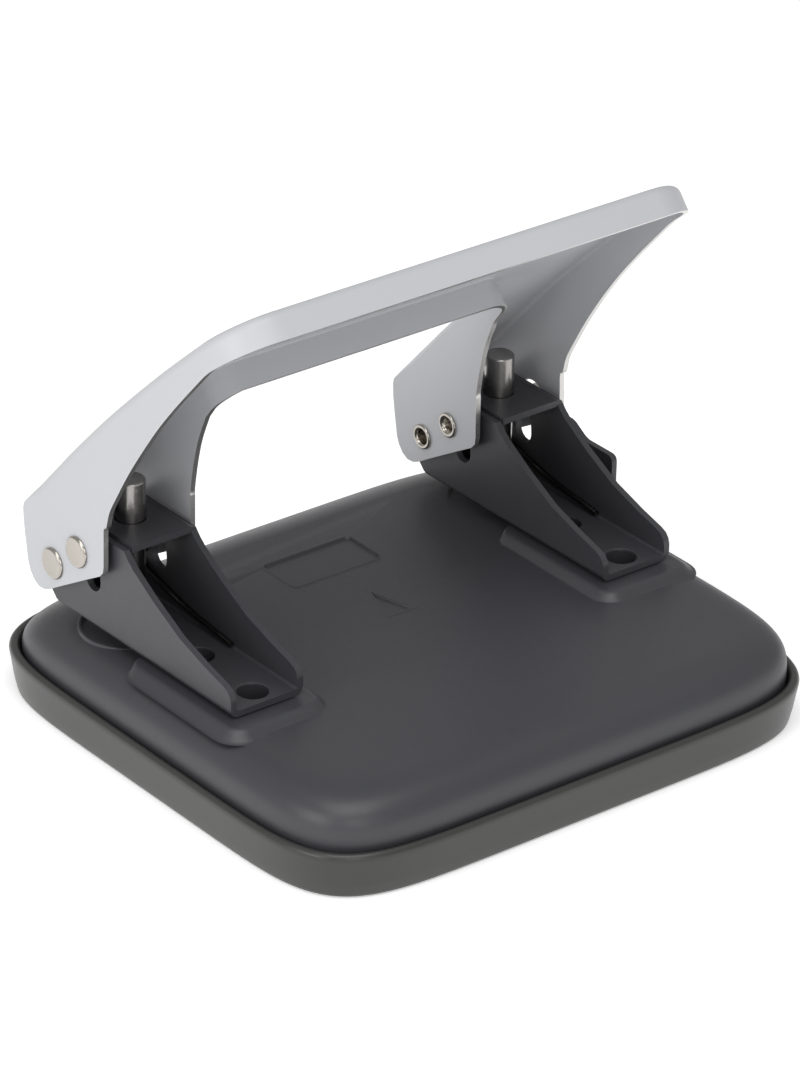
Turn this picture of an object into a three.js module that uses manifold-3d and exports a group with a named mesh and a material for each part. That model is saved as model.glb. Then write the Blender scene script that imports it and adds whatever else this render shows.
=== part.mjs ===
// Two-hole paper punch: pressed steel base over a plastic chip tray, two stamped
// brackets, one sheet lever, two punch pins, torsion return springs and a lever latch.
// Millimetres, +Z up, +Y towards the paper side, X from the left punch to the right one.
import * as THREE from "three";
import { mergeVertices } from "three/addons/utils/BufferGeometryUtils.js";
import Module from "manifold-3d";

const wasm = await Module();
wasm.setup();

// ---- driving sizes -------------------------------------------------------
const HOLE_SPACING = 80;
const PUNCH_X = [-HOLE_SPACING / 2, HOLE_SPACING / 2];
const PUNCH_Y = 24.65;
const PIN_RADIUS = 2.6;
const RUN_GAP = 0.3;

const TRAY_HALF = { x: 55.4, y: 51.0 };
const SEAM_HALF = { x: 53.6, y: 49.2 };
const SEAM_Z = 9.1;
const SKIRT_FOOT = 5.0;
const COVER_TOP = 16.8;
const COVER_STEEL = 1.2;
const CORNER_POWER = 6.7;

const BRACKET_HALF = 7.5;
const BRACKET_STEEL = 1.2;
const BRACKET_FLOOR = 18.5;
const BRIDGE_TOP = 37.4;

const LEG_HALF = 9.55;
const LEVER_STEEL = 1.0;
const LEVER_HALF = HOLE_SPACING / 2 + LEG_HALF;
const PIVOT = { y: PUNCH_Y + 8.95, z: 27.7 };
const DRIVE = { y: PUNCH_Y + 1.99, z: 32.9 };
const PIVOT_SHANK = 1.9;
const DRIVE_SHANK = 1.7;
const HEAD_RADIUS = 2.85;
const STUD_HOLE = 3.15;
const FLARE = 1.2;
const LEVER_TRAVEL = THREE.MathUtils.degToRad(35);
const ARM = Math.hypot(DRIVE.y - PIVOT.y, DRIVE.z - PIVOT.z);
const ARM_ANGLE = Math.atan2(DRIVE.z - PIVOT.z, DRIVE.y - PIVOT.y);
const STROKE = DRIVE.z - PIVOT.z - ARM * Math.sin(ARM_ANGLE + LEVER_TRAVEL);
const PIN_TOP = 45.0;
const PIN_TIP = 18.9;

// ---- solid helpers -------------------------------------------------------
function solid(geometry) {
  const bare = new THREE.BufferGeometry();
  bare.setAttribute("position", geometry.getAttribute("position").clone());
  if (geometry.index) bare.setIndex(geometry.index.clone());
  const merged = mergeVertices(bare, 1e-4);
  return new wasm.Manifold(new wasm.Mesh({
    numProp: 3,
    vertProperties: new Float32Array(merged.getAttribute("position").array),
    triVerts: new Uint32Array(merged.index.array),
  }));
}

function union(...parts) {
  return parts.reduce((sum, next) => sum.add(next));
}

function cut(body, ...tools) {
  return tools.reduce((rest, tool) => rest.subtract(tool), body);
}

function node(name, body, look) {
  const mesh = body.getMesh();
  const geometry = new THREE.BufferGeometry();
  geometry.setAttribute("position", new THREE.BufferAttribute(new Float32Array(mesh.vertProperties), 3));
  geometry.setIndex(new THREE.BufferAttribute(new Uint32Array(mesh.triVerts), 1));
  const flat = geometry.toNonIndexed();
  flat.computeVertexNormals();
  const result = new THREE.Mesh(flat, new THREE.MeshStandardMaterial(look));
  result.name = name;
  return result;
}

function shapeOf(points, holes = []) {
  const shape = new THREE.Shape(points.map(([u, v]) => new THREE.Vector2(u, v)));
  holes.forEach((hole) => shape.holes.push(new THREE.Path(hole.map(([u, v]) => new THREE.Vector2(u, v)))));
  return shape;
}

// Outline in the XY plane, standing from z0 to z1.
function slab(points, z0, z1, holes = []) {
  const geometry = new THREE.ExtrudeGeometry(shapeOf(points, holes), { depth: z1 - z0, bevelEnabled: false });
  geometry.translate(0, 0, z0);
  return solid(geometry);
}

// Outline in the YZ plane, from x0 to x1.
function sidePlate(points, x0, x1, holes = []) {
  const geometry = new THREE.ExtrudeGeometry(shapeOf(points, holes), { depth: x1 - x0, bevelEnabled: false });
  const turn = new THREE.Matrix4().makeBasis(
    new THREE.Vector3(0, 1, 0), new THREE.Vector3(0, 0, 1), new THREE.Vector3(1, 0, 0));
  geometry.applyMatrix4(turn);
  geometry.translate(x0, 0, 0);
  return solid(geometry);
}

function box(x0, x1, y0, y1, z0, z1) {
  const geometry = new THREE.BoxGeometry(x1 - x0, y1 - y0, z1 - z0);
  geometry.translate((x0 + x1) / 2, (y0 + y1) / 2, (z0 + z1) / 2);
  return solid(geometry);
}

function circle(cu, cv, radius, count = 20) {
  return Array.from({ length: count }, (_, i) => {
    const turn = (2 * Math.PI * i) / count;
    return [cu + radius * Math.cos(turn), cv + radius * Math.sin(turn)];
  });
}

function roundRect(u0, u1, v0, v1, radius, steps = 5) {
  const corners = [[u1 - radius, v1 - radius, 0], [u0 + radius, v1 - radius, 1],
    [u0 + radius, v0 + radius, 2], [u1 - radius, v0 + radius, 3]];
  return corners.flatMap(([cu, cv, quarter]) => Array.from({ length: steps + 1 }, (_, i) => {
    const turn = (Math.PI / 2) * (quarter + i / steps);
    return [cu + radius * Math.cos(turn), cv + radius * Math.sin(turn)];
  }));
}

// A turned piece: profile pairs are [radius, height]; axis "z" stands up, axis "x" lies across.
function turned(profile, axis, at, segments = 20) {
  const geometry = new THREE.LatheGeometry(profile.map(([r, h]) => new THREE.Vector2(r, h)), segments);
  if (axis === "z") geometry.rotateX(Math.PI / 2);
  else geometry.rotateZ(-Math.PI / 2);
  geometry.translate(...at);
  return solid(geometry);
}

// A bowed rectangle with soft corners: half width x, front edge y1 and rear edge y0.
function softRing(halfX, y0, y1, z, count = 72) {
  return Array.from({ length: count }, (_, i) => {
    const turn = (2 * Math.PI * (i + 0.5)) / count;
    const c = Math.cos(turn);
    const s = Math.sin(turn);
    const power = 2 / CORNER_POWER;
    const x = halfX * Math.sign(c) * Math.abs(c) ** power;
    const y = (y0 + y1) / 2 + ((y1 - y0) / 2) * Math.sign(s) * Math.abs(s) ** power;
    return [x, y, z];
  });
}

// Closed solid through a stack of rings, lowest ring first.
function loft(rings) {
  const count = rings[0].length;
  const points = rings.flat();
  const faces = [];
  for (let k = 0; k + 1 < rings.length; k += 1) {
    for (let i = 0; i < count; i += 1) {
      const j = (i + 1) % count;
      const low = k * count;
      const high = low + count;
      faces.push(low + i, low + j, high + j, low + i, high + j, high + i);
    }
  }
  [0, rings.length - 1].forEach((k) => {
    const hub = points.length;
    const ring = rings[k];
    points.push([0, 1, 2].map((axis) => ring.reduce((sum, p) => sum + p[axis], 0) / count));
    for (let i = 0; i < count; i += 1) {
      const a = k * count + i;
      const b = k * count + ((i + 1) % count);
      if (k === 0) faces.push(hub, b, a);
      else faces.push(hub, a, b);
    }
  });
  const geometry = new THREE.BufferGeometry();
  geometry.setAttribute("position", new THREE.Float32BufferAttribute(points.flat(), 3));
  geometry.setIndex(faces);
  return solid(geometry);
}

// Round wire along a smooth path.
function wire(points, radius, steps) {
  const path = new THREE.CatmullRomCurve3(points.map((p) => new THREE.Vector3(...p)), false, "centripetal");
  const section = shapeOf(circle(0, 0, radius, 6));
  return solid(new THREE.ExtrudeGeometry(section, { steps, extrudePath: path, bevelEnabled: false }));
}

// ---- looks ---------------------------------------------------------------
const DARK_PAINT = { color: 0x55555a, roughness: 0.55, metalness: 0.1 };
const LIGHT_PAINT = { color: 0xc6c7ca, roughness: 0.5, metalness: 0.1 };
const SMOKED_PLASTIC = { color: 0x5a5f5e, roughness: 0.35, metalness: 0 };
const BRIGHT_STEEL = { color: 0xb9b6ae, roughness: 0.25, metalness: 1 };
const NICKEL = { color: 0xcfc8ba, roughness: 0.22, metalness: 1 };
const SPRING_STEEL = { color: 0x4a4a48, roughness: 0.35, metalness: 1 };

// ---- base cover ----------------------------------------------------------
const PAD = { half: 10, rear: PUNCH_Y - 42.65, front: PUNCH_Y - 12, top: BRACKET_FLOOR - RUN_GAP };
const COLLAR_Y = [PUNCH_Y - 34.45, PUNCH_Y - 19.45];
const COLLAR_BORE = 2.6;
const SEAT_RADIUS = 8.5;
const LATCH = { x0: LEVER_HALF + 1.65, x1: LEVER_HALF + 2.85, rear: PUNCH_Y - 18.25 };

// Rings of the crowned cover; the paper side slopes down further than the other three.
function coverRings(shrink, drop) {
  const levels = [0, 0.2, 0.4, 0.58, 0.74, 0.87, 0.96, 1];
  const rise = COVER_TOP - SEAM_Z;
  const reach = (v, power) => 1 - (1 - v ** power) ** (1 / power);
  const crown = levels.map((v) => {
    const side = 9.5 * reach(v, 2.8);
    const front = 13.5 * reach(v, 1.45);
    return softRing(SEAM_HALF.x - shrink - side, -SEAM_HALF.y + shrink + side,
      SEAM_HALF.y - shrink - front, SEAM_Z + rise * v - drop);
  });
  return [softRing(SEAM_HALF.x - shrink, -SEAM_HALF.y + shrink, SEAM_HALF.y - shrink, SKIRT_FOOT - drop), ...crown];
}

// The pressed-up pad under a bracket, and the hollow beneath its steel.
function padSolids(x) {
  const level = (grow, z) => roundRect(x - PAD.half - grow, x + PAD.half + grow, PAD.rear - grow,
    PAD.front + grow / 4, 2.5).map(([u, v]) => [u, v, z]);
  const raised = loft([level(0.6, COVER_TOP - 1.1), level(0.2, COVER_TOP), level(-1.0, PAD.top)]);
  const hollow = loft([level(-1.0, 12), level(-1.0, COVER_TOP - 1.1), level(-2.2, PAD.top - COVER_STEEL)]);
  return { raised, hollow };
}

function baseCover() {
  const shell = cut(loft(coverRings(0, 0)), loft(coverRings(COVER_STEEL, COVER_STEEL)));
  const pads = PUNCH_X.map(padSolids);
  const raised = cut(union(shell, ...pads.map((pad) => pad.raised)), ...pads.map((pad) => pad.hollow));
  const tools = PUNCH_X.flatMap((x) => [
    slab(circle(x, PUNCH_Y, PIN_RADIUS + 0.12, 32), 5, 30),
    slab(circle(x, PUNCH_Y, SEAT_RADIUS, 36), COVER_TOP - 0.4, 30),
    ...COLLAR_Y.map((y) => slab(circle(x, y, 3.55), 5, 30)),
  ]);
  const label = slab(roundRect(-9.5, 9.5, PUNCH_Y - 6.3, PUNCH_Y + 3.2, 0.8), COVER_TOP - 0.4, 30);
  const arrow = slab([[0, PUNCH_Y - 15.3], [-2.6, PUNCH_Y - 23.8], [2.6, PUNCH_Y - 23.8]], COVER_TOP - 0.35, 30);
  const latchSlot = slab(roundRect(LATCH.x0 - RUN_GAP, LATCH.x1 + RUN_GAP,
    LATCH.rear + 1.3, LATCH.rear + 14.6, 0.6), 5, 30);
  return cut(raised, ...tools, label, arrow, latchSlot);
}

// ---- chip tray -----------------------------------------------------------
function chipTray() {
  const ring = (inset, z) => softRing(TRAY_HALF.x - inset, -TRAY_HALF.y + inset, TRAY_HALF.y - inset, z);
  const outside = loft([ring(1.7, 0), ring(1.0, 0.7), ring(0.6, 3.0), ring(0, 7.6), ring(0.35, 8.4), ring(1.3, 8.9)]);
  const inside = loft([ring(3.0, 1.5), ring(1.8, 2.6), ring(1.5, 4.6), ring(1.5, 9.5)]);
  return cut(outside, inside);
}

// ---- brackets ------------------------------------------------------------
function arcSlot(halfWidth) {
  const from = ARM_ANGLE - 0.09;
  const to = ARM_ANGLE + LEVER_TRAVEL + 0.03;
  const steps = 10;
  const arc = (radius, backwards) => Array.from({ length: steps + 1 }, (_, i) => {
    const part = backwards ? 1 - i / steps : i / steps;
    const turn = from + (to - from) * part;
    return [PIVOT.y + radius * Math.cos(turn), PIVOT.z + radius * Math.sin(turn)];
  });
  const cap = (turn, flip) => Array.from({ length: 7 }, (_, i) => {
    const lean = turn + flip * (i + 1) * (Math.PI / 8);
    return [PIVOT.y + ARM * Math.cos(turn) + halfWidth * Math.cos(lean),
      PIVOT.z + ARM * Math.sin(turn) + halfWidth * Math.sin(lean)];
  });
  return [...arc(ARM + halfWidth, false), ...cap(to, 1),
    ...arc(ARM - halfWidth, true), ...cap(from, 1).map(([u, v]) => [
      2 * (PIVOT.y + ARM * Math.cos(from)) - u, 2 * (PIVOT.z + ARM * Math.sin(from)) - v])];
}

// Side outline of a bracket wall, y counted from the punch axis.
const WALL_OUTLINE = [[-38.45, BRACKET_FLOOR], [-38.45, 21.6], [-37.8, 23.0], [-36.1, 23.9], [-31.2, 25.1],
  [-24.2, 27.4], [-16.6, 31.1], [-11.1, 34.4], [-8.3, BRIDGE_TOP - BRACKET_STEEL], [8.2, BRIDGE_TOP - BRACKET_STEEL],
  [12.6, 31.4], [12.6, 20.9], [11.0, 19.0], [9.6, BRACKET_FLOOR]];

function bracket(x) {
  const wallPoints = WALL_OUTLINE.map(([y, z]) => [PUNCH_Y + y, z]);
  const holes = [circle(PIVOT.y, PIVOT.z, PIVOT_SHANK + 0.1), arcSlot(DRIVE_SHANK + 0.4)];
  const inner = BRACKET_HALF - BRACKET_STEEL;
  const wallA = sidePlate(wallPoints, x - BRACKET_HALF, x - inner, holes);
  const wallB = sidePlate(wallPoints, x + inner, x + BRACKET_HALF, holes);
  const rear = PUNCH_Y - 38.45;
  const floor = slab(roundRect(x - BRACKET_HALF, x + BRACKET_HALF, rear, PUNCH_Y + 10.4, 0.8),
    BRACKET_FLOOR, BRACKET_FLOOR + BRACKET_STEEL);
  const bridge = box(x - inner + RUN_GAP, x + BRACKET_HALF, PUNCH_Y - 8.4, PUNCH_Y + 8.2,
    BRIDGE_TOP - BRACKET_STEEL, BRIDGE_TOP);
  const lip = box(x - inner - 0.2, x + inner + 0.2, PUNCH_Y + 9.8, PUNCH_Y + 11.0, BRACKET_FLOOR + 0.4, 22);
  const collars = COLLAR_Y.map((y) => turned([[COLLAR_BORE, 14.9], [4.4, 14.9], [4.4, 15.4], [3.3, 16.4],
    [3.3, BRACKET_FLOOR + 0.4], [COLLAR_BORE, BRACKET_FLOOR + 0.4], [COLLAR_BORE, 14.9]], "z", [x, y, 0]));
  const bores = [
    ...COLLAR_Y.map((y) => slab(circle(x, y, COLLAR_BORE), 10, 25)),
    slab(circle(x, PUNCH_Y, PIN_RADIUS + 0.08, 32), 10, 45),
  ];
  return cut(union(floor, lip, wallA, wallB, bridge, ...collars), ...bores);
}

// ---- lever ---------------------------------------------------------------
// Front surface of the lever seen from the side, y counted from the punch axis, foot to crown.
const LEVER_FRONT = [[17.85, 35.5], [13.25, 41.1], [8.15, 46.8], [4.45, 50.9], [-3.45, 59.2],
  [-11.45, 67.1], [-20.15, 75.3], [-29.05, 83.3], [-38.75, 91.8]];
const LEVER_FOOT = [[-5.5, 32.2], [-4.2, 30.8], [10.3, 21.9], [12.8, 21.3], [14.6, 22.0], [15.9, 24.2],
  [17.6, 31.5], [18.1, 34.2]];
// Free rear edges of the outer and inner flanges, crown to foot.
const OUTER_EDGE = [[-42.3, 87.6], [-32.9, 80.0], [-25.6, 71.6], [-20.0, 64.6], [-13.3, 54.9], [-9.2, 48.0],
  [-7.2, 44.3], [-6.3, 41.2], [-5.5, 40.4]];
const INNER_EDGE = [[-14.0, 64.4], [-12.8, 62.1], [-9.6, 57.6], [-7.2, 53.4], [-6.0, 47.6], [-5.3, 42.3], [-5.5, 41.2]];
const CROWN_SLOPE = THREE.MathUtils.degToRad(41.8);
const CORNER = 10;
const CROWN = LEVER_FRONT[LEVER_FRONT.length - 1];
const WINDOW_TOP = -38.5;

// Points pushed back from the front surface by the sheet thickness.
function pushedBack(points, distance) {
  return points.map(([y, z], i) => {
    const [ya, za] = points[Math.max(i - 1, 0)];
    const [yb, zb] = points[Math.min(i + 1, points.length - 1)];
    const length = Math.hypot(yb - ya, zb - za);
    return [y - (distance * (zb - za)) / length, z + (distance * (yb - ya)) / length];
  });
}

// The right leg's outer wall leans outwards towards its foot, to clear the stud's shoulder.
function flareAt(x, z) {
  const lean = THREE.MathUtils.clamp((60 - z) / 32, 0, 1);
  const share = THREE.MathUtils.clamp((x - 46) / 2.5, 0, 1);
  return FLARE * lean * share;
}

const fromPunch = (points) => points.map(([y, z]) => [PUNCH_Y + y, z]);

// Outline across the lever, in the plane of its crown: u along X, v up the slope from the crown edge.
function leverOutline(inset) {
  const half = LEVER_HALF - inset;
  const corner = CORNER - inset;
  const arc = (side) => Array.from({ length: 9 }, (_, i) => {
    const turn = (Math.PI / 2) * (side > 0 ? i / 8 : 1 + i / 8);
    return [side * (half - corner) + corner * Math.cos(turn), -inset - corner + corner * Math.sin(turn)];
  });
  return [[half, -130], ...arc(1), ...arc(-1), [-half, -130]];
}

function windowOutline(grow) {
  const half = HOLE_SPACING / 2 - LEG_HALF + grow;
  const corner = 4 + grow;
  const top = WINDOW_TOP + grow;
  const arc = (side) => Array.from({ length: 7 }, (_, i) => {
    const turn = (Math.PI / 2) * (side > 0 ? i / 6 : 1 + i / 6);
    return [side * (half - corner) + corner * Math.cos(turn), top - corner + corner * Math.sin(turn)];
  });
  return [[half, -140], ...arc(1), ...arc(-1), [-half, -140]];
}

function acrossPrism(points) {
  const geometry = new THREE.ExtrudeGeometry(shapeOf(points), { depth: 160, bevelEnabled: false });
  geometry.translate(0, 0, -80);
  const up = new THREE.Vector3(0, -Math.cos(CROWN_SLOPE), Math.sin(CROWN_SLOPE));
  const out = new THREE.Vector3(1, 0, 0).cross(up);
  geometry.applyMatrix4(new THREE.Matrix4().makeBasis(new THREE.Vector3(1, 0, 0), up, out));
  geometry.translate(0, PUNCH_Y + CROWN[0], CROWN[1]);
  return solid(geometry);
}

function lever() {
  const span = [-LEVER_HALF - 5, LEVER_HALF + 5];
  const beyond = [CROWN[0] - 6, CROWN[1] + 5.4];
  const body = sidePlate(fromPunch([...LEVER_FOOT, ...LEVER_FRONT, beyond, [-48, 93], ...OUTER_EDGE]), ...span);
  const outside = cut(acrossPrism(leverOutline(0)), acrossPrism(windowOutline(0)));
  const inside = cut(acrossPrism(leverOutline(LEVER_STEEL)), acrossPrism(windowOutline(LEVER_STEEL)));
  const back = pushedBack([...LEVER_FRONT, beyond], LEVER_STEEL);
  const hollow = sidePlate(fromPunch([[25, 5], [25, 34.4], [18.6, 34.4], ...back, [-60, 90], [-60, 5]]), ...span);
  const trim = sidePlate(fromPunch([[-5.5, 41.0], ...INNER_EDGE.slice().reverse(), [-24.5, 62.5], [-24.5, 41.0]]),
    -LEVER_HALF + 8, LEVER_HALF - 8);
  const sheet = cut(body.intersect(outside), hollow.intersect(inside), trim);
  const across = (at, radius, x0, x1) => sidePlate(circle(at.y, at.z, radius), x0, x1);
  const leaning = sheet.warp((point) => {
    point[0] += flareAt(point[0], point[2]);
  });
  return cut(leaning,
    across(PIVOT, PIVOT_SHANK + 0.06, -80, 80),
    across(DRIVE, DRIVE_SHANK + 0.06, -80, 80),
    across(DRIVE, STUD_HOLE, LEVER_HALF - 3, 80));
}

// ---- rivets --------------------------------------------------------------
// A tubular rivet through one leg: low head outside, rolled ring on the window side.
function legRivet(x, at, shank) {
  const outward = Math.sign(x);
  const head = LEG_HALF + 0.1 + flareAt(x + LEG_HALF, at.z);
  const tail = -LEG_HALF - 0.1;
  const bore = shank - 0.5;
  const profile = [[0, head + 0.3], [1.8, head + 0.34], [2.4, head + 0.5], [HEAD_RADIUS, head + 0.3],
    [HEAD_RADIUS, head], [shank, head], [shank, tail], [2.3, tail], [2.35, tail - 0.25], [2.0, tail - 0.4],
    [bore, tail - 0.1], [bore, tail + 2.5], [0, tail + 2.5]];
  const rising = outward > 0 ? profile.slice().reverse() : profile.map(([r, h]) => [r, -h]);
  return turned(rising, "x", [x, at.y, at.z]);
}

// The right drive rivet runs on outside the lever, a long stud whose head stands clear of the latch.
function latchStud(x) {
  const tail = -LEG_HALF - 0.1;
  const bore = DRIVE_SHANK - 0.5;
  const head = LEG_HALF + 4.35;
  const shoulder = LEG_HALF - 1.1;
  const profile = [[0, tail + 2.5], [bore, tail + 2.5], [bore, tail - 0.1], [2.0, tail - 0.4], [2.35, tail - 0.25],
    [2.3, tail], [DRIVE_SHANK, tail], [DRIVE_SHANK, shoulder], [2.15, shoulder + 0.1], [2.15, LEG_HALF + 1.3],
    [DRIVE_SHANK, LEG_HALF + 1.35], [DRIVE_SHANK, head], [HEAD_RADIUS, head], [HEAD_RADIUS, head + 0.8], [2.4, head + 1.3], [0, head + 1.4]];
  return turned(profile, "x", [x, DRIVE.y, DRIVE.z]);
}

// ---- punch pins ----------------------------------------------------------
function punchPin(x) {
  const body = turned([[0, PIN_TIP + 0.9], [PIN_RADIUS, PIN_TIP], [PIN_RADIUS, PIN_TOP - 0.5],
    [PIN_RADIUS - 0.5, PIN_TOP], [0, PIN_TOP]], "z", [x, PUNCH_Y, 0], 32);
  const deepest = PIVOT.y - ARM - DRIVE_SHANK - RUN_GAP;
  const notch = box(x - 5, x + 5, deepest, PUNCH_Y + 5, DRIVE.z - DRIVE_SHANK - 0.35, DRIVE.z + DRIVE_SHANK + 0.35);
  return cut(body, notch);
}

// ---- return springs ------------------------------------------------------
// A torsion spring round the pivot rivet: one leg on the bracket floor, one under the drive rivet.
function returnSpring(x) {
  const wireRadius = 0.5;
  const coil = 2.9;
  const start = -2.2;
  const turns = 2 + (Math.PI / 2 - start) / (2 * Math.PI);
  const pitch = 2 * wireRadius + 0.06;
  const outer = x + BRACKET_HALF - BRACKET_STEEL - wireRadius - 0.15;
  const besidePin = x + PIN_RADIUS + wireRadius + 0.25;
  const floor = BRACKET_FLOOR + BRACKET_STEEL + wireRadius;
  const points = [[outer, PUNCH_Y - 21.0, floor + 0.25], [outer, PUNCH_Y - 8, floor + 1.8]];
  const samples = 30;
  for (let i = 0; i <= samples; i += 1) {
    const turn = start + (2 * Math.PI * turns * i) / samples;
    points.push([outer - (pitch * turns * i) / samples,
      PIVOT.y + coil * Math.cos(turn), PIVOT.z + coil * Math.sin(turn)]);
  }
  const under = DRIVE.z - DRIVE_SHANK - wireRadius - 0.25;
  points.push([besidePin, PIVOT.y - 4.0, under], [besidePin, DRIVE.y - 2.0, under]);
  return wire(points, wireRadius, 84);
}

// ---- lever latch ---------------------------------------------------------
// A plate that slides towards the paper side and hooks over the stud of the pressed lever.
function leverLatch() {
  const hook = { low: 25.9, high: 29.95, top: 30.9 };
  const outline = [[1.6, 8.8], [8.2, 8.8], [8.2, 17.2], [12.4, 17.2], [13.4, hook.low], [11.4, hook.low],
    [11.2, 27.9], [11.4, hook.high], [16.2, hook.high], [16.2, 30.5], [15.7, hook.top], [12.2, hook.top],
    [11.3, 30.6], [10.0, 29.8], [8.6, 29.0], [7.6, 28.7], [1.2, 28.7], [0.35, 28.35], [0, 27.5], [0, 17.2],
    [1.6, 17.2]];
  return sidePlate(outline.map(([y, z]) => [LATCH.rear + y, z]), LATCH.x0, LATCH.x1);
}

// ---- assembly ------------------------------------------------------------
const punch = new THREE.Group();
punch.name = "paper_punch";
punch.add(node("base_cover", baseCover(), DARK_PAINT));
punch.add(node("chip_tray", chipTray(), SMOKED_PLASTIC));
punch.add(node("lever", lever(), LIGHT_PAINT));
punch.add(node("lever_latch", leverLatch(), DARK_PAINT));
PUNCH_X.forEach((x, i) => {
  const side = ["left", "right"][i];
  punch.add(node(`${side}_bracket`, bracket(x), DARK_PAINT));
  punch.add(node(`${side}_punch_pin`, punchPin(x), BRIGHT_STEEL));
  punch.add(node(`${side}_pivot_rivet`, legRivet(x, PIVOT, PIVOT_SHANK), NICKEL));
  punch.add(node(`${side}_return_spring`, returnSpring(x), SPRING_STEEL));
});
punch.add(node("left_drive_rivet", legRivet(PUNCH_X[0], DRIVE, DRIVE_SHANK), NICKEL));
punch.add(node("right_drive_rivet", latchStud(PUNCH_X[1]), NICKEL));

export default punch;
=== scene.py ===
import bisect
import math

import bmesh
import bpy
from mathutils import Matrix, Vector


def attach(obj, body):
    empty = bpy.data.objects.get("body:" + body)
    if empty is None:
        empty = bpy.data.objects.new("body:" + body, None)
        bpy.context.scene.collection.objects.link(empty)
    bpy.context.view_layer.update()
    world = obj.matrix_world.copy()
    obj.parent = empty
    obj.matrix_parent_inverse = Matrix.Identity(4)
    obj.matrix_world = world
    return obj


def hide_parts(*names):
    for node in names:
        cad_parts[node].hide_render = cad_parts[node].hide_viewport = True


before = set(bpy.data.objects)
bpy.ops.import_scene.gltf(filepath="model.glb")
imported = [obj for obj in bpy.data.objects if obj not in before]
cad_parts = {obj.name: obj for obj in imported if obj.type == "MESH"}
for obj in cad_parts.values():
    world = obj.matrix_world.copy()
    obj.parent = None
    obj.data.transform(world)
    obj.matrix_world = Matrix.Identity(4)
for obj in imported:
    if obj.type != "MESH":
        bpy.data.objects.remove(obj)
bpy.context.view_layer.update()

# ---- base cover ------------------------------------------------------------
# Deep-drawn painted sheet steel: flat top, rounded shoulders, a longer slope on the paper side,
# with raised pads under the brackets, die seats, a blank label recess and a centre arrow pressed in.
# Sizes are millimetres; at() makes metres of them. x is from the middle and z from the table.
MM = 0.001
HOLE_SPACING = 80
PUNCH_X = {"left": -HOLE_SPACING / 2, "right": HOLE_SPACING / 2}
PUNCH_Y = 24.65
BRACKET_FLOOR = 18.5
COVER_TOP = 16.8


def at(x, y, z):
    return Vector((x, y, z)) * MM


def finish_mesh(name, bm, materials, smooth_below=35):
    """Turns a bmesh into an object, smooth except where faces meet at more than the angle."""
    for face in bm.faces:
        face.smooth = True
    for edge in bm.edges:
        edge.smooth = len(edge.link_faces) != 2 or edge.calc_face_angle(0) < math.radians(smooth_below)
    mesh = bpy.data.meshes.new(name)
    bm.to_mesh(mesh)
    bm.free()
    piece = bpy.data.objects.new(name, mesh)
    bpy.context.collection.objects.link(piece)
    for material in materials:
        mesh.materials.append(material)
    return piece


def bake(piece):
    """Replaces a piece's mesh by the result of its modifiers."""
    graph = bpy.context.evaluated_depsgraph_get()
    mesh = bpy.data.meshes.new_from_object(piece.evaluated_get(graph))
    piece.modifiers.clear()
    piece.data = mesh


def combine(piece, tool, operation="DIFFERENCE"):
    """Cuts a tool solid out of a piece, or joins it on, and throws the tool away."""
    step = piece.modifiers.new("combine", "BOOLEAN")
    step.object = tool
    step.operation = operation
    step.solver = "EXACT"
    bake(piece)
    bpy.data.objects.remove(tool)


def soften(piece, width, segments=2, angle=35):
    """Rounds every edge sharper than the angle and shades the rest smooth."""
    step = piece.modifiers.new("soften", "BEVEL")
    step.width = width * MM
    step.segments = segments
    step.limit_method = "ANGLE"
    step.angle_limit = math.radians(angle)
    step.use_clamp_overlap = True
    bake(piece)
    bm = bmesh.new()
    bm.from_mesh(piece.data)
    bmesh.ops.remove_doubles(bm, verts=bm.verts, dist=1e-7)
    for face in bm.faces:
        face.smooth = True
    for edge in bm.edges:
        edge.smooth = len(edge.link_faces) != 2 or edge.calc_face_angle(0) < math.radians(angle)
    bm.to_mesh(piece.data)
    bm.free()
    level = piece.modifiers.new("level", "WEIGHTED_NORMAL")
    level.keep_sharp = True


def loft(rings):
    """A closed skin through rings of points, lowest ring first."""
    bm = bmesh.new()
    rows = [[bm.verts.new(at(*point)) for point in ring] for ring in rings]
    count = len(rows[0])
    for low, high in zip(rows, rows[1:]):
        for i in range(count):
            j = (i + 1) % count
            bm.faces.new((low[i], low[j], high[j], high[i]))
    bm.faces.new(rows[0][::-1])
    bm.faces.new(rows[-1])
    return bm


def plate(outline, start, end, axis="x"):
    """An outline extruded along an axis: pairs are (y, z) along x, (x, z) along y, (x, y) along z."""
    place = {
        "x": lambda u, v, t: (t, u, v),
        "y": lambda u, v, t: (u, t, v),
        "z": lambda u, v, t: (u, v, t),
    }[axis]
    bm = loft([[place(u, v, t) for u, v in outline] for t in (start, end)])
    bmesh.ops.recalc_face_normals(bm, faces=bm.faces)
    return bm


def circle(u, v, radius, count=48):
    turns = [2 * math.pi * i / count for i in range(count)]
    return [(u + radius * math.cos(t), v + radius * math.sin(t)) for t in turns]


def rounded_rectangle(u0, u1, v0, v1, radius, steps=8):
    corners = [(u1 - radius, v1 - radius), (u0 + radius, v1 - radius),
               (u0 + radius, v0 + radius), (u1 - radius, v0 + radius)]
    points = []
    for quarter, (u, v) in enumerate(corners):
        for i in range(steps + 1):
            turn = math.pi / 2 * (quarter + i / steps)
            points.append((u + radius * math.cos(turn), v + radius * math.sin(turn)))
    return points


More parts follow.
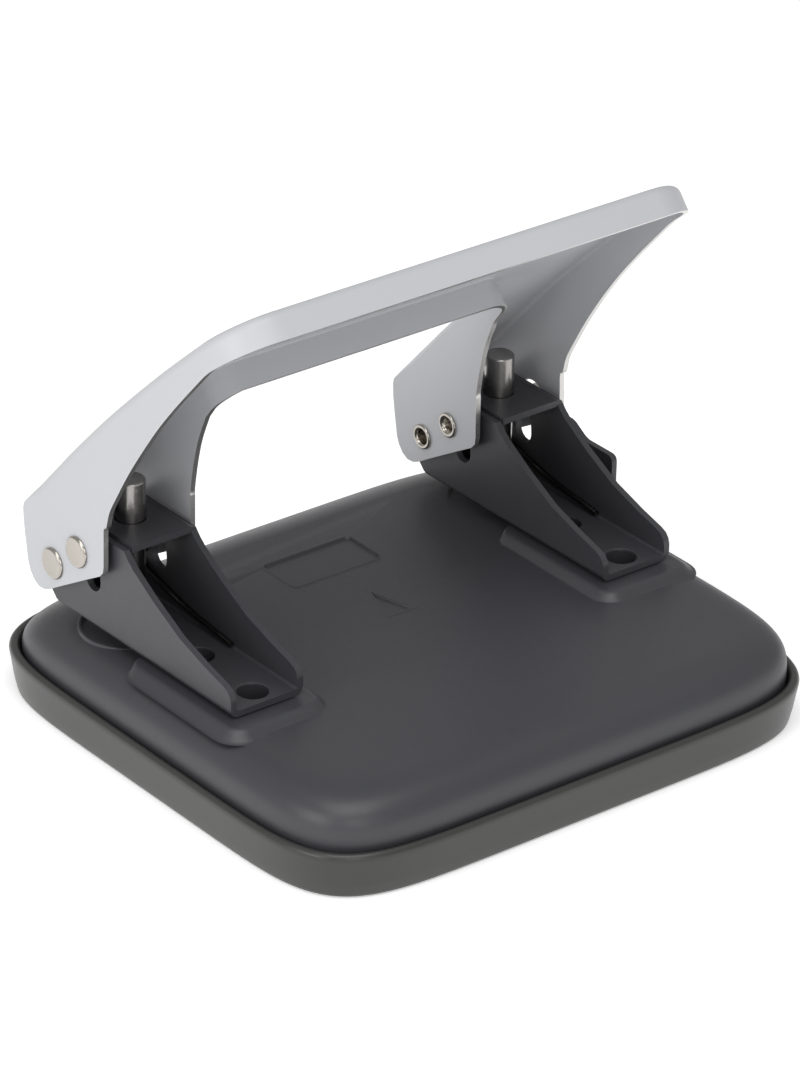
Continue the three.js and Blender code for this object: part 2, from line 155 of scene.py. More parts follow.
# Every finish shares one group for uneven colour, gloss and fine grain.
def make_surface_group():
    group = bpy.data.node_groups.new("surface_variation", "ShaderNodeTree")
    face = group.interface
    for name, default in (("Grain Size", 900.0), ("Grain Depth", 0.1), ("Patch Size", 40.0)):
        face.new_socket(name, in_out="INPUT", socket_type="NodeSocketFloat").default_value = default
    face.new_socket("Patch", in_out="OUTPUT", socket_type="NodeSocketFloat")
    face.new_socket("Grain", in_out="OUTPUT", socket_type="NodeSocketFloat")
    face.new_socket("Normal", in_out="OUTPUT", socket_type="NodeSocketVector")
    nodes = group.nodes
    source = nodes.new("NodeGroupInput")
    sink = nodes.new("NodeGroupOutput")
    place = nodes.new("ShaderNodeTexCoord")
    patch = nodes.new("ShaderNodeTexNoise")
    patch.inputs["Detail"].default_value = 4
    grain = nodes.new("ShaderNodeTexNoise")
    grain.inputs["Detail"].default_value = 3
    bump = nodes.new("ShaderNodeBump")
    bump.inputs["Distance"].default_value = 0.00006
    link = group.links.new
    link(place.outputs["Object"], patch.inputs["Vector"])
    link(place.outputs["Object"], grain.inputs["Vector"])
    link(source.outputs["Patch Size"], patch.inputs["Scale"])
    link(source.outputs["Grain Size"], grain.inputs["Scale"])
    link(source.outputs["Grain Depth"], bump.inputs["Strength"])
    link(grain.outputs["Fac"], bump.inputs["Height"])
    link(patch.outputs["Fac"], sink.inputs["Patch"])
    link(grain.outputs["Fac"], sink.inputs["Grain"])
    link(bump.outputs["Normal"], sink.inputs["Normal"])
    return group


SURFACE = make_surface_group()


def surface(name, colour, roughness, metallic=0.0, grain=(900.0, 0.1), patch=40.0,
            shade=0.08, gloss=0.08, **extra):
    """A Principled material whose colour and gloss drift a little over the piece."""
    material = bpy.data.materials.new(name)
    material.use_nodes = True
    nodes, link = material.node_tree.nodes, material.node_tree.links.new
    shader = nodes["Principled BSDF"]
    shader.inputs["Metallic"].default_value = metallic
    for socket, value in extra.items():
        shader.inputs[socket.replace("_", " ")].default_value = value
    group = nodes.new("ShaderNodeGroup")
    group.node_tree = SURFACE
    group.inputs["Grain Size"].default_value = grain[0]
    group.inputs["Grain Depth"].default_value = grain[1]
    group.inputs["Patch Size"].default_value = patch
    tint = nodes.new("ShaderNodeMix")
    tint.data_type = "RGBA"
    tint.inputs["A"].default_value = [c * (1 - shade) for c in colour] + [1]
    tint.inputs["B"].default_value = [min(1, c * (1 + shade)) for c in colour] + [1]
    link(group.outputs["Patch"], tint.inputs["Factor"])
    link(tint.outputs["Result"], shader.inputs["Base Color"])
    polish = nodes.new("ShaderNodeMapRange")
    polish.inputs["To Min"].default_value = max(0.02, roughness - gloss)
    polish.inputs["To Max"].default_value = min(1, roughness + gloss)
    link(group.outputs["Grain"], polish.inputs["Value"])
    link(polish.outputs["Result"], shader.inputs["Roughness"])
    link(group.outputs["Normal"], shader.inputs["Normal"])
    return material


DARK_PAINT = surface("dark_paint", (0.044, 0.044, 0.050), 0.40, grain=(1400.0, 0.12))
SEAM_HALF = (53.6, 49.2)
SEAM_Z = 9.1
SKIRT_FOOT = 5.0
STEEL = 1.2
PIN_HOLE = 2.75
SEAT_RADIUS = 8.4
CORNER_POWER = 6.7
COLLAR_Y = (PUNCH_Y - 34.45, PUNCH_Y - 19.45)


def soft_ring(half_x, y0, y1, z, count=288):
    points = []
    for i in range(count):
        turn = 2 * math.pi * (i + 0.5) / count
        c, s = math.cos(turn), math.sin(turn)
        x = half_x * math.copysign(abs(c) ** (2 / CORNER_POWER), c)
        y = (y0 + y1) / 2 + (y1 - y0) / 2 * math.copysign(abs(s) ** (2 / CORNER_POWER), s)
        points.append((x, y, z))
    return points


def crown_rings(shrink):
    """Rings of the cover from its skirt to its flat top, drawn in by the steel's thickness."""
    side_power, front_power = 2.8, 1.45
    rings = [soft_ring(SEAM_HALF[0] - shrink, -SEAM_HALF[1] + shrink, SEAM_HALF[1] - shrink, SKIRT_FOOT)]
    steps = 26
    for k in range(steps + 1):
        rise = math.sin(math.pi / 2 * k / steps) ** (2 / side_power)
        side = 9.5 * (1 - (1 - rise ** side_power) ** (1 / side_power))
        front = 13.5 * (1 - (1 - rise ** front_power) ** (1 / front_power))
        z = SEAM_Z + (COVER_TOP - SEAM_Z) * rise - shrink
        rings.append(soft_ring(SEAM_HALF[0] - shrink - side, -SEAM_HALF[1] + shrink + side,
                               SEAM_HALF[1] - shrink - front, z))
    rings.append([(x * 0.99, y * 0.99, z) for x, y, z in rings[-1]])
    return rings


def pad_rings(x):
    """The pad under a bracket, its sides easing in and out like drawn steel."""
    rear, front = PUNCH_Y - 42.65, PUNCH_Y - 12
    rings = []
    for k in range(9):
        ease = k / 8
        z = COVER_TOP - 0.3 + (BRACKET_FLOOR - 0.3 - COVER_TOP + 0.3) * (3 * ease ** 2 - 2 * ease ** 3)
        grow = 1.7 - 3.0 * ease
        outline = rounded_rectangle(x - 10 - grow, x + 10 + grow, rear - grow, front + grow / 4, 3.5 + grow)
        rings.append([(u, v, z) for u, v in outline])
    rings.append([(x + (u - x) * 0.97, v, w) for u, v, w in rings[-1]])
    return rings


def press_in(outline, depth):
    """Presses a flat recess into the cover's top and throws up a low bead round it."""
    bead = ((0.6, -0.7), (0.5, 0.0), (0.28, 0.14))
    recess = ((-0.2, -depth), (0.12, 0.3))
    for operation, levels in (("UNION", bead), ("DIFFERENCE", recess)):
        rings = [[(x, y, COVER_TOP + height) for x, y in outline(grow)] for grow, height in levels]
        combine(cover, finish_mesh("press", loft(rings), [DARK_PAINT]), operation)


cover = finish_mesh("cover", loft(crown_rings(0)), [DARK_PAINT])
hollow = crown_rings(STEEL)
hollow[0] = [(x, y, SKIRT_FOOT - 1) for x, y, _ in hollow[0]]
combine(cover, finish_mesh("hollow", loft(hollow), [DARK_PAINT]))
for x in PUNCH_X.values():
    combine(cover, finish_mesh("pad", loft(pad_rings(x)), [DARK_PAINT]), "UNION")
    for y in COLLAR_Y:
        combine(cover, finish_mesh("bore", plate(circle(x, y, 3.55), 5, 30, "z"), [DARK_PAINT]))
    press_in(lambda grow: circle(x, PUNCH_Y, SEAT_RADIUS + grow, 72), 0.45)
    combine(cover, finish_mesh("die", plate(circle(x, PUNCH_Y, PIN_HOLE), 5, 30, "z"), [DARK_PAINT]))
press_in(lambda grow: rounded_rectangle(-9.5 - grow, 9.5 + grow, PUNCH_Y - 6.3 - grow, PUNCH_Y + 3.2 + grow,
                                        1.0 + grow), 0.32)
press_in(lambda grow: [(0, PUNCH_Y - 15.3 + 3 * grow), (-2.6 - 1.6 * grow, PUNCH_Y - 23.8 - grow),
                       (2.6 + 1.6 * grow, PUNCH_Y - 23.8 - grow)], 0.3)
LATCH_X = (51.2, 52.4)
LATCH_REAR = PUNCH_Y - 18.25
slot = rounded_rectangle(LATCH_X[0] - 0.3, LATCH_X[1] + 0.3, LATCH_REAR + 1.3, LATCH_REAR + 14.6, 0.6)
combine(cover, finish_mesh("slot", plate(slot, 0, 30, "z"), [DARK_PAINT]))
soften(cover, 0.22, angle=40)
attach(cover, "base")
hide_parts("base_cover")


# ---- chip tray -------------------------------------------------------------
# Moulded smoky plastic: one wall with a little draft, rolled over at the lip, gripping the skirt.
SMOKED_PLASTIC = surface("smoked_plastic", (0.045, 0.046, 0.043), 0.32, grain=(2500.0, 0.02), shade=0.05,
                         Transmission_Weight=0.2, IOR=1.48)
TRAY_HALF = (55.38, 50.98)
TRAY_WALL = [(2.2, 0.0), (1.5, 0.1), (1.1, 0.4), (0.95, 1.0), (0.6, 3.0), (0.3, 5.4), (0.05, 7.2), (0.0, 7.7),
             (0.08, 8.15), (0.3, 8.5), (0.65, 8.7), (0.95, 8.7), (1.25, 8.5), (1.42, 8.2), (1.5, 7.6),
             (1.5, 4.6), (1.8, 2.6), (2.3, 1.8), (3.2, 1.5)]
tray_rings = [soft_ring(TRAY_HALF[0] - inset, -TRAY_HALF[1] + inset, TRAY_HALF[1] - inset, z)
              for inset, z in TRAY_WALL]
tray = finish_mesh("tray", loft(tray_rings), [SMOKED_PLASTIC], smooth_below=50)
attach(tray, "tray")
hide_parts("chip_tray")


# ---- brackets --------------------------------------------------------------
# Folded painted steel channels, open at both ends, with a bridge folded over from the right wall.
# Two extruded collars hold each to the base; a bridge hole and a floor hole guide the punch pin.
PIVOT = (PUNCH_Y + 8.95, 27.7)
DRIVE = (PUNCH_Y + 1.99, 32.9)
WALL_OUTLINE = [(-38.45, 18.5), (-38.45, 21.4), (-38.1, 22.5), (-37.4, 23.3), (-36.1, 23.85), (-31.2, 25.1),
                (-24.2, 27.3), (-16.6, 31.1), (-11.1, 34.4), (-9.6, 35.6), (-8.4, 36.9), (8.2, 36.9),
                (9.4, 35.8), (12.4, 31.8), (12.6, 31.0), (12.6, 21.6), (12.2, 20.6), (11.0, 19.4),
                (9.6, 18.5)]
WALL = 7.5
INNER = WALL - STEEL
BRIDGE_TOP = 37.4
DRIVE_SLOT = 2.1
PIVOT_HOLE = 2.0


def arc_slot(half_width):
    """The curved slot that the drive rivet runs down as the lever goes from up to pressed."""
    arm = math.hypot(DRIVE[0] - PIVOT[0], DRIVE[1] - PIVOT[1])
    up = math.atan2(DRIVE[1] - PIVOT[1], DRIVE[0] - PIVOT[0]) - 0.06
    down = up + math.radians(35) + 0.09
    points = []
    for k in range(13):
        turn = up + (down - up) * k / 12
        points.append((arm + half_width, turn))
    for k in range(13):
        turn = down + (up - down) * k / 12
        points.append((arm - half_width, turn))
    outline = [(PIVOT[0] + r * math.cos(t), PIVOT[1] + r * math.sin(t)) for r, t in points]
    ends = []
    for turn, lead in ((down, 0), (up, math.pi)):
        y, z = PIVOT[0] + arm * math.cos(turn), PIVOT[1] + arm * math.sin(turn)
        ends.append([(y + half_width * math.cos(turn + lead + math.pi * k / 8),
                      z + half_width * math.sin(turn + lead + math.pi * k / 8)) for k in range(1, 8)])
    return outline[:13] + ends[0] + outline[13:] + ends[1]


def lathe(profile, axis, centre, segments=64):
    """A closed turned solid from (radius, height) pairs that start and end on the axis."""
    bm = bmesh.new()
    rows = []
    for radius, height in profile:
        turns = [2 * math.pi * i / segments for i in range(segments if radius > 0 else 1)]
        ring = [(radius * math.cos(t), radius * math.sin(t), height) for t in turns]
        if axis == "x":
            ring = [(h, a, b) for a, b, h in ring]
        rows.append([bm.verts.new(at(*(c + p for c, p in zip(centre, point)))) for point in ring])
    for low, high in zip(rows, rows[1:]):
        for i in range(segments):
            j = (i + 1) % segments
            corners = [low[i % len(low)], low[j % len(low)], high[j % len(high)], high[i % len(high)]]
            bm.faces.new(list(dict.fromkeys(corners)))
    bmesh.ops.recalc_face_normals(bm, faces=bm.faces)
    return bm


def make_bracket(name, x):
    outline = [(PUNCH_Y + y, z) for y, z in WALL_OUTLINE]
    block = plate(outline, x - WALL, x + WALL)
    low = [e for e in block.edges if all(v.co.z < 18.6 * MM for v in e.verts)
           and abs(e.verts[0].co.x - e.verts[1].co.x) < 1e-6]
    bmesh.ops.bevel(block, geom=low, offset=1.6 * MM, offset_type="OFFSET", segments=5, profile=0.5,
                    affect="EDGES", material=-1)
    channel = finish_mesh(name, block, [DARK_PAINT])
    room = rounded_rectangle(x - INNER, x + INNER, BRACKET_FLOOR + 1.2, 60, 0.5)
    combine(channel, finish_mesh("room", plate(room, -60, 60, "y"), [DARK_PAINT]))
    top, under = BRIDGE_TOP, BRIDGE_TOP - STEEL
    fold = [(x + INNER - 0.3 + 1.5 * math.sin(t), top - 1.5 + 1.5 * math.cos(t))
            for t in (math.pi / 2 * k / 5 for k in range(6))]
    free_end = x - INNER + 0.35
    bridge = [(free_end, top), *fold, (x + WALL, 34), (x + INNER, 34), (x + INNER, under), (free_end, under)]
    cross = plate(bridge, PUNCH_Y - 8.7, PUNCH_Y + 8.0, "y")
    combine(channel, finish_mesh("bridge", cross, [DARK_PAINT]), "UNION")
    lip = rounded_rectangle(PUNCH_Y + 9.8, PUNCH_Y + 11.0, BRACKET_FLOOR + 0.4, 22, 0.3)
    combine(channel, finish_mesh("lip", plate(lip, x - INNER - 0.2, x + INNER + 0.2), [DARK_PAINT]), "UNION")
    for y in COLLAR_Y:
        collar = [(0, 14.9), (4.4, 14.9), (4.4, 15.4), (3.7, 15.8), (3.3, 16.4), (3.3, 19), (0, 19)]
        combine(channel, finish_mesh("collar", lathe(collar, "z", (x, y, 0), 40), [DARK_PAINT]), "UNION")
        bore = [(0, 10), (2.6, 10), (2.6, 19.2), (2.75, 19.55), (3.1, 19.75), (3.1, 24), (0, 24)]
        combine(channel, finish_mesh("bore", lathe(bore, "z", (x, y, 0), 40), [DARK_PAINT]))
    combine(channel, finish_mesh("guide", plate(circle(x, PUNCH_Y, PIN_HOLE), 10, 45, "z"), [DARK_PAINT]))
    combine(channel, finish_mesh("slot", plate(arc_slot(DRIVE_SLOT), x - 20, x + 20), [DARK_PAINT]))
    combine(channel, finish_mesh("pivot", plate(circle(*PIVOT, PIVOT_HOLE), x - 20, x + 20), [DARK_PAINT]))
    soften(channel, 0.14)
    return channel


for side, x in PUNCH_X.items():
    bracket = make_bracket(f"{side}_channel", x)
    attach(bracket, "base")
    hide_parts(f"{side}_bracket")


# ---- lever -----------------------------------------------------------------
# One painted sheet, 1 mm thick, pressed to a bridge shape: a sloping front with its outer edge and
# its window edge both folded back, so each leg is a channel that straddles its bracket.
LIGHT_PAINT = surface("light_paint", (0.50, 0.505, 0.525), 0.42, grain=(1400.0, 0.10), shade=0.03)
BARE_EDGE = surface("bare_edge", (0.66, 0.65, 0.63), 0.3, metallic=0.9, grain=(3000.0, 0.3))
LEVER_HALF = HOLE_SPACING / 2 + 9.55
WINDOW_HALF = HOLE_SPACING / 2 - 9.55
FLARE = 1.2
CORNER = 10.0
WINDOW_CORNER = 4.0
WINDOW_TOP = -38.5
FRONT = [(17.85, 35.5), (13.25, 41.1), (8.15, 46.8), (4.45, 50.9), (-3.45, 59.2), (-11.45, 67.1),
         (-20.15, 75.3), (-29.05, 83.3), (-38.75, 91.8)]
FOOT = [(-5.5, 33.2), (-5.3, 32.0), (-4.4, 31.0), (-1.2, 29.1), (7.5, 23.8), (10.2, 22.1), (11.6, 21.5),
        (13.2, 21.4), (14.6, 22.1), (15.7, 23.4), (16.3, 24.8), (17.1, 28.9), (17.6, 32.0), (17.8, 34.6)]
OUTER_EDGE = [(-32.9, 80.0), (-25.6, 71.6), (-20.0, 64.6), (-13.3, 54.9), (-9.2, 48.0), (-7.2, 44.3),
              (-6.4, 41.5)]
OUTER_STEP = [(-6.2, 40.9), (-5.6, 40.6), (-5.5, 39.8)]
INNER_EDGE = [(-9.4, 57.5), (-7.4, 52.4), (-6.2, 47.5), (-5.4, 42.4), (-5.4, 41.0)]


def smooth_line(points, steps=8):
    """Points on a soft curve through the given (y, z) points."""
    padded = [Vector(points[0]) * 2 - Vector(points[1])] + [Vector(p) for p in points]
    padded.append(Vector(points[-1]) * 2 - Vector(points[-2]))
    line = []
    for a, b, c, d in zip(padded, padded[1:], padded[2:], padded[3:]):
        for i in range(steps):
            t = i / steps
            line.append(0.5 * (2 * b + (c - a) * t + (2 * a - 5 * b + 4 * c - d) * t * t
                               + (3 * b - a - 3 * c + d) * t ** 3))
    return line + [Vector(points[-1])]


FRONT_LINE = smooth_line(FRONT, 16)[::-1]
FRONT_RUN = [0.0]
for a, b in zip(FRONT_LINE, FRONT_LINE[1:]):
    FRONT_RUN.append(FRONT_RUN[-1] + (b - a).length)
LEG_END = -FRONT_RUN[-1]


def front_point(v):
    """(y, z) on the lever's front, v millimetres up the slope from the crown fold (so negative)."""
    i = min(max(bisect.bisect(FRONT_RUN, -v), 1), len(FRONT_RUN) - 1)
    part = (-v - FRONT_RUN[i - 1]) / (FRONT_RUN[i] - FRONT_RUN[i - 1])
    return FRONT_LINE[i - 1].lerp(FRONT_LINE[i], part)


def ease(t):
    """0 to 1 with a soft start and end."""
    t = min(1, max(0, t))
    return 3 * t ** 2 - 2 * t ** 3


def fold_radius(v, outer):
    """The folds tighten towards the tips of the legs."""
    return 0.3 + ((1.7 if outer else 1.2) - 0.3) * ease((v - LEG_END) / 8)


def swell(x, v):
    """How far the grip bulges out between its outer fold and the window."""
    return 1.6 * ease((v + 50) / 10) * ease((-v - 4) / 25) * ease((46 - abs(x)) / 12)


def on_front(x, v):
    """Place on the front, the direction up its slope, and the way it faces."""
    point = front_point(v)
    rise = (front_point(v + 1.5) - front_point(v - 1.5)).normalized()
    out = Vector((0, rise.y, -rise.x))
    return Vector((x, PUNCH_Y + point.x, point.y)) + out * swell(x, v), Vector((0, rise.x, rise.y)), out


def fold_rows(x, v, way, radius):
    """Points round the fold from the front's edge to the flange; way points off the edge of the front."""
    place, up, out = on_front(x, v)
    side = Vector((way[0], 0, 0)) + up * way[1]
    turns = [math.pi / 2 * k / 6 for k in range(7)]
    return [place - out * radius + (out * math.cos(t) + side * math.sin(t)) * radius for t in turns], out


def inset(place, way, outer):
    """The edge of the flat front beside a fold: its place drawn in from the sharp corner by the radius."""
    radius = fold_radius(place[1], outer)
    return place[0] - way[0] * radius, place[1] - way[1] * radius, way, radius


def left_stations():
    """Matching places on the outer fold and the window fold: up the leg, round the corner, to the middle."""
    found = []
    turn_v = WINDOW_TOP - WINDOW_CORNER
    for k in range(20):
        v = LEG_END + (turn_v - LEG_END) * (k / 20) ** 1.4
        found.append((((-LEVER_HALF, v), (-1, 0)), ((-WINDOW_HALF, v), (1, 0))))
    for k in range(33):
        beta = math.pi - math.pi / 2 * k / 32
        turn = (math.cos(beta), math.sin(beta))
        inner = ((-WINDOW_HALF + WINDOW_CORNER * (1 + turn[0]), turn_v + WINDOW_CORNER * turn[1]),
                 (-turn[0], -turn[1]))
        if k < 12:
            outer = ((-LEVER_HALF, turn_v + (-CORNER - turn_v) * k / 12), (-1, 0))
        else:
            alpha = math.pi - math.pi / 2 * (k - 12) / 20
            turn = (math.cos(alpha), math.sin(alpha))
            outer = ((-LEVER_HALF + CORNER * (1 + turn[0]), -CORNER + CORNER * turn[1]), turn)
        found.append((outer, inner))
    for k in range(1, 13):
        part = k / 12
        found.append(((((-LEVER_HALF + CORNER) * (1 - part), 0), (0, 1)),
                      (((-WINDOW_HALF + WINDOW_CORNER) * (1 - part), WINDOW_TOP), (0, -1))))
    return [(inset(*outer, True), inset(*inner, False)) for outer, inner in found]


LEG_STATIONS = 20
CORNER_STATION = LEG_STATIONS + 12
MIDDLE_STATION = LEG_STATIONS + 32 + 12


def mirrored(edge):
    x, v, way, radius = edge
    return -x, v, (-way[0], way[1]), radius


def flange_depth(station, outer):
    """How far the flange reaches back from the front, past its walls' own outlines."""
    if outer:
        part = min(1, max(0, (station - CORNER_STATION) / 20))
        return 4.9 + 0.5 * part
    part = min(1, max(0, (station - LEG_STATIONS) / 32))
    return 5.0 - 0.6 * part


def build_lever_skin():
    bm = bmesh.new()
    half = left_stations()
    stations = [(k, pair) for k, pair in enumerate(half)]
    stations += [(k, (mirrored(pair[0]), mirrored(pair[1]))) for k, pair in reversed(stations[:-1])]

    def quads(rows_a, rows_b):
        for a, b, c, d in zip(rows_a, rows_a[1:], rows_b[1:], rows_b):
            bm.faces.new([bm.verts.new(p * MM) for p in (a, b, c, d)])

    webs, folds = [], {True: [], False: []}
    for k, (outer, inner) in stations:
        across = [i / 10 for i in range(11)]
        webs.append([on_front(outer[0] + (inner[0] - outer[0]) * t, outer[1] + (inner[1] - outer[1]) * t)[0]
                     for t in across])
        for is_outer, edge in ((True, outer), (False, inner)):
            rows, out = fold_rows(*edge)
            depth = flange_depth(k, is_outer)
            reach = depth - edge[3] + swell(*edge[:2])
            back = [rows[-1] - out * reach * t for t in (0.5, 1.0)]
            folds[is_outer].append((k, rows, back))
    for a, b in zip(webs, webs[1:]):
        quads(a, b)
    for is_outer, start in ((True, CORNER_STATION), (False, LEG_STATIONS)):
        for (k, rows, back), (m, rows_next, back_next) in zip(folds[is_outer], folds[is_outer][1:]):
            quads(rows, rows_next)
            if k >= start and m >= start:
                quads([rows[-1], *back], [rows_next[-1], *back_next])
        for line in (folds[is_outer], folds[is_outer][::-1]):
            walled = [(rows, back) for k, rows, back in line[:MIDDLE_STATION] if k <= start]
            x = walled[0][0][-1].x
            edge = smooth_line(OUTER_EDGE if is_outer else INNER_EDGE, 5)
            edge += [Vector(p) for p in OUTER_STEP] if is_outer else []
            outline = [rows[-1] for rows, back in walled] + walled[-1][1]
            outline += [Vector((x, PUNCH_Y + p[0], p[1])) for p in [*edge, *FOOT]]
            bm.faces.new([bm.verts.new(p * MM) for p in outline])
    bmesh.ops.remove_doubles(bm, verts=bm.verts, dist=2e-6)
    bmesh.ops.recalc_face_normals(bm, faces=bm.faces)
    top = max(bm.faces, key=lambda f: f.calc_center_median().z if abs(f.normal.x) < 0.1 else 0)
    if top.normal.z < 0:
        bmesh.ops.reverse_faces(bm, faces=bm.faces)
    return bm


lever = finish_mesh("lever_sheet", build_lever_skin(), [LIGHT_PAINT, BARE_EDGE], smooth_below=60)
shell = lever.modifiers.new("sheet", "SOLIDIFY")
shell.thickness = 1.0 * MM
shell.offset = -1
shell.use_even_offset = True
shell.use_rim = True
shell.material_offset_rim = 1
bake(lever)
for vertex in lever.data.vertices:
    lean = min(1, max(0, (60 - vertex.co.z / MM) / 32))
    share = min(1, max(0, (vertex.co.x / MM - 46) / 2.5))
    vertex.co.x += FLARE * lean * share * MM
HOLES = [(PIVOT, 1.95, -80, 80), (DRIVE, 1.75, -80, 80), (DRIVE, 3.15, LEVER_HALF - 3, LEVER_HALF + 3)]
for centre, radius, start, end in HOLES:
    combine(lever, finish_mesh("hole", plate(circle(*centre, radius, 40), start, end), [BARE_EDGE]))
soften(lever, 0.1, segments=2, angle=50)
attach(lever, "lever_arm")
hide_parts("lever")


# ---- rivets ----------------------------------------------------------------
# Nickel-plated tubular rivets: a low dished head on the outer wall of each leg, a hollow rolled
# tail on the window side. The right drive rivet is a long stud with its head out at the latch.
NICKEL = surface("nickel", (0.46, 0.43, 0.39), 0.2, metallic=1.0, grain=(1500.0, 0.06), shade=0.08)


def rivet_profile(shank, head_at, stud):
    tail = -9.65
    head = [(0, 0.22), (1.4, 0.26), (1.9, 0.36), (2.3, 0.5), (2.6, 0.46), (2.8, 0.28), (2.85, 0.03)]
    if stud:
        head = [(0, 1.35), (1.6, 1.28), (2.3, 1.1), (2.75, 0.7), (2.85, 0.3), (2.8, 0.02)]
    profile = [(r, head_at + h) for r, h in head] + [(shank, head_at)]
    if stud:
        profile += [(shank, 10.9), (2.15, 10.85), (2.15, 8.6), (shank, 8.45)]
    ring = [(2.2, 0), (2.3, -0.1), (2.3, -0.28), (2.1, -0.4), (1.8, -0.4), (1.5, -0.25), (shank - 0.5, 0.1)]
    profile += [(shank, tail)] + [(r, tail + h) for r, h in ring]
    return profile + [(shank - 0.5, tail + 1.6), (shank - 0.9, tail + 2.5), (0, tail + 2.5)]


RIVETS = {
    "left_pivot_rivet": ("left", PIVOT, 1.9, 9.65, False),
    "right_pivot_rivet": ("right", PIVOT, 1.9, 9.65 + FLARE, False),
    "left_drive_rivet": ("left", DRIVE, 1.7, 9.65, False),
    "right_drive_rivet": ("right", DRIVE, 1.7, 13.9, True),
}
for node, (side, centre, shank, head_at, stud) in RIVETS.items():
    x = PUNCH_X[side]
    profile = [(r, math.copysign(1, x) * h) for r, h in rivet_profile(shank, head_at, stud)]
    rivet = finish_mesh(f"{node}_turned", lathe(profile, "x", (x, *centre), 48), [NICKEL], smooth_below=60)
    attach(rivet, "lever_arm")
    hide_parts(node)


# ---- punch pins ------------------------------------------------------------
# Ground steel rods with a small chamfer on top, a cupped cutting end, and a notch for the drive rivet.
BRIGHT_STEEL = surface("bright_steel", (0.36, 0.345, 0.33), 0.24, metallic=1.0, grain=(1800.0, 0.12),
                       shade=0.1)
PIN = {"radius": 2.6, "top": 45.0, "tip": 18.9}
for side, x in PUNCH_X.items():
    profile = [(0, PIN["tip"] + 0.9), (PIN["radius"] - 0.1, PIN["tip"]), (PIN["radius"], PIN["tip"] + 0.1),
               (PIN["radius"], PIN["top"] - 0.45), (PIN["radius"] - 0.12, PIN["top"] - 0.2),
               (PIN["radius"] - 0.5, PIN["top"]), (0, PIN["top"])]
    pin = finish_mesh(f"{side}_pin", lathe(profile, "z", (x, PUNCH_Y, 0)), [BRIGHT_STEEL])
    notch = [(22.9, DRIVE[1] - 2.05), (30, DRIVE[1] - 2.05), (30, DRIVE[1] + 2.05), (22.9, DRIVE[1] + 2.05)]
    combine(pin, finish_mesh("notch", plate(notch, x - 5, x + 5), [BRIGHT_STEEL]))
    soften(pin, 0.06)
    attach(pin, f"{side}_pin")
    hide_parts(f"{side}_punch_pin")


# ---- return springs --------------------------------------------------------
# Torsion springs of dark wire round the pivot rivets: one leg on the bracket floor, one under the
# drive rivet.
COIL_RADIUS = 2.9
COIL_PITCH = 1.06
WIRE_RADIUS = 0.5
SPRING_STEEL = surface("spring_steel", (0.10, 0.095, 0.09), 0.3, metallic=1.0, grain=(2500.0, 0.1))


def spring_path(x):
    start = -2.2
    turns = 2 + (math.pi / 2 - start) / (2 * math.pi)
    outer = x + INNER - 0.65
    floor = BRACKET_FLOOR + 1.7
    points = [(outer, PUNCH_Y - 21.0, floor + 0.25), (outer, PUNCH_Y - 8, floor + 1.8)]
    for i in range(61):
        turn = start + 2 * math.pi * turns * i / 60
        points.append((outer - COIL_PITCH * turns * i / 60, PIVOT[0] + COIL_RADIUS * math.cos(turn),
                       PIVOT[1] + COIL_RADIUS * math.sin(turn)))
    points += [(x + 3.35, PIVOT[0] - 4.0, DRIVE[1] - 2.45), (x + 3.35, DRIVE[0] - 2.0, DRIVE[1] - 2.45)]
    return points


def wire(name, points, radius, material):
    curve = bpy.data.curves.new(name, "CURVE")
    curve.dimensions = "3D"
    curve.bevel_depth = radius * MM
    curve.bevel_resolution = 3
    curve.use_fill_caps = True
    curve.resolution_u = 4
    spline = curve.splines.new("BEZIER")
    spline.bezier_points.add(len(points) - 1)
    for knot, point in zip(spline.bezier_points, points):
        knot.co = at(*point)
        knot.handle_left_type = knot.handle_right_type = "AUTO"
    holder = bpy.data.objects.new(name, curve)
    bpy.context.collection.objects.link(holder)
    graph = bpy.context.evaluated_depsgraph_get()
    mesh = bpy.data.meshes.new_from_object(holder.evaluated_get(graph))
    bpy.data.objects.remove(holder)
    bm = bmesh.new()
    bm.from_mesh(mesh)
    bmesh.ops.remove_doubles(bm, verts=bm.verts, dist=1e-7)
    bmesh.ops.recalc_face_normals(bm, faces=bm.faces)
    return finish_mesh(name, bm, [material], smooth_below=60)


for side, x in PUNCH_X.items():
    spring = wire(f"{side}_wire", spring_path(x), WIRE_RADIUS, SPRING_STEEL)
    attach(spring, "base")
    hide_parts(f"{side}_return_spring")


# ---- lever latch -----------------------------------------------------------
# A stamped painted plate beside the right bracket; it slides forward to hook the pressed stud.

HOOK = [(1.6, 8.8), (8.2, 8.8), (8.2, 17.2), (12.4, 17.2), (13.4, 25.9), (11.4, 25.9), (11.2, 27.9),
        (11.4, 29.95), (16.2, 29.95), (16.2, 30.5), (15.7, 30.9), (12.2, 30.9), (11.3, 30.6), (10.0, 29.8),
        (8.6, 29.0), (7.6, 28.7), (1.3, 28.7), (0.75, 28.6), (0.35, 28.35), (0.1, 27.95), (0, 27.4),
        (0, 17.2), (1.6, 17.2)]
latch = finish_mesh("latch_plate", plate([(LATCH_REAR + y, z) for y, z in HOOK], *LATCH_X), [DARK_PAINT])
soften(latch, 0.12)
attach(latch, "latch")
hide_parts("lever_latch")


# ---- floor, light and camera -----------------------------------------------
# A plain white floor, an even room, soft lights from above, in front and the left, and a long lens.

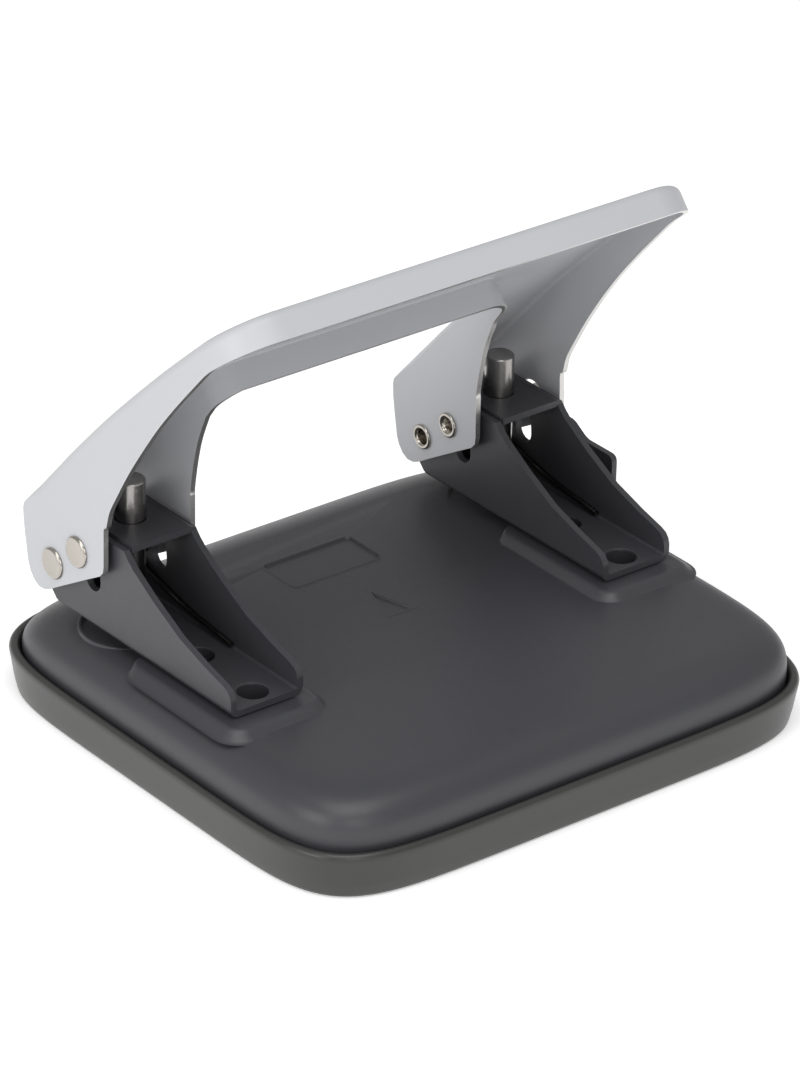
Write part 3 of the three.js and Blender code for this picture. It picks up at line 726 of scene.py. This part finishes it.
ground = bpy.data.meshes.new("floor")
ground.from_pydata([(-4, -4, 0), (4, -4, 0), (4, 4, 0), (-4, 4, 0)], [], [(0, 1, 2, 3)])
floor = bpy.data.objects.new("floor", ground)
bpy.context.collection.objects.link(floor)
white = bpy.data.materials.new("floor_white")
white.use_nodes = True
white.node_tree.nodes["Principled BSDF"].inputs["Base Color"].default_value = (0.93, 0.93, 0.93, 1)
white.node_tree.nodes["Principled BSDF"].inputs["Roughness"].default_value = 0.9
white.node_tree.nodes["Principled BSDF"].inputs["Emission Color"].default_value = (1, 1, 1, 1)
white.node_tree.nodes["Principled BSDF"].inputs["Emission Strength"].default_value = 0.35
ground.materials.append(white)

world = bpy.data.worlds.new("room")
world.use_nodes = True
world.node_tree.nodes["Background"].inputs["Color"].default_value = (1, 1, 1, 1)
world.node_tree.nodes["Background"].inputs["Strength"].default_value = 0.45
bpy.context.scene.world = world


def soft_light(name, place, target, size, power):
    lamp = bpy.data.lights.new(name, "AREA")
    lamp.shape = "SQUARE"
    lamp.size = size
    lamp.energy = power
    holder = bpy.data.objects.new(name, lamp)
    holder.location = place
    holder.rotation_euler = (Vector(target) - Vector(place)).to_track_quat("-Z", "Y").to_euler()
    bpy.context.collection.objects.link(holder)


soft_light("top", (-0.15, -0.25, 1.1), (0, 0, 0.03), 0.8, 5.2)
soft_light("front", (-0.45, -1.0, 0.55), (0, 0, 0.04), 0.6, 2.2)
soft_light("left", (-0.9, -0.1, 0.45), (0, 0, 0.04), 0.6, 3.2)

lens = bpy.data.cameras.new("camera")
lens.lens = 199.1
camera = bpy.data.objects.new("camera", lens)
camera.location = (-0.5693, -0.7003, 0.5156)
azimuth, elevation, roll = math.radians(39.04), math.radians(28.28), math.radians(1.48)
level = math.cos(elevation)
sight = Vector((math.sin(azimuth) * level, math.cos(azimuth) * level, -math.sin(elevation)))
facing = sight.to_track_quat("-Z", "Y").to_matrix() @ Matrix.Rotation(roll, 3, "Z")
camera.rotation_euler = facing.to_euler()
bpy.context.collection.objects.link(camera)
bpy.context.scene.camera = camera
bpy.context.scene.view_settings.view_transform = "Standard"
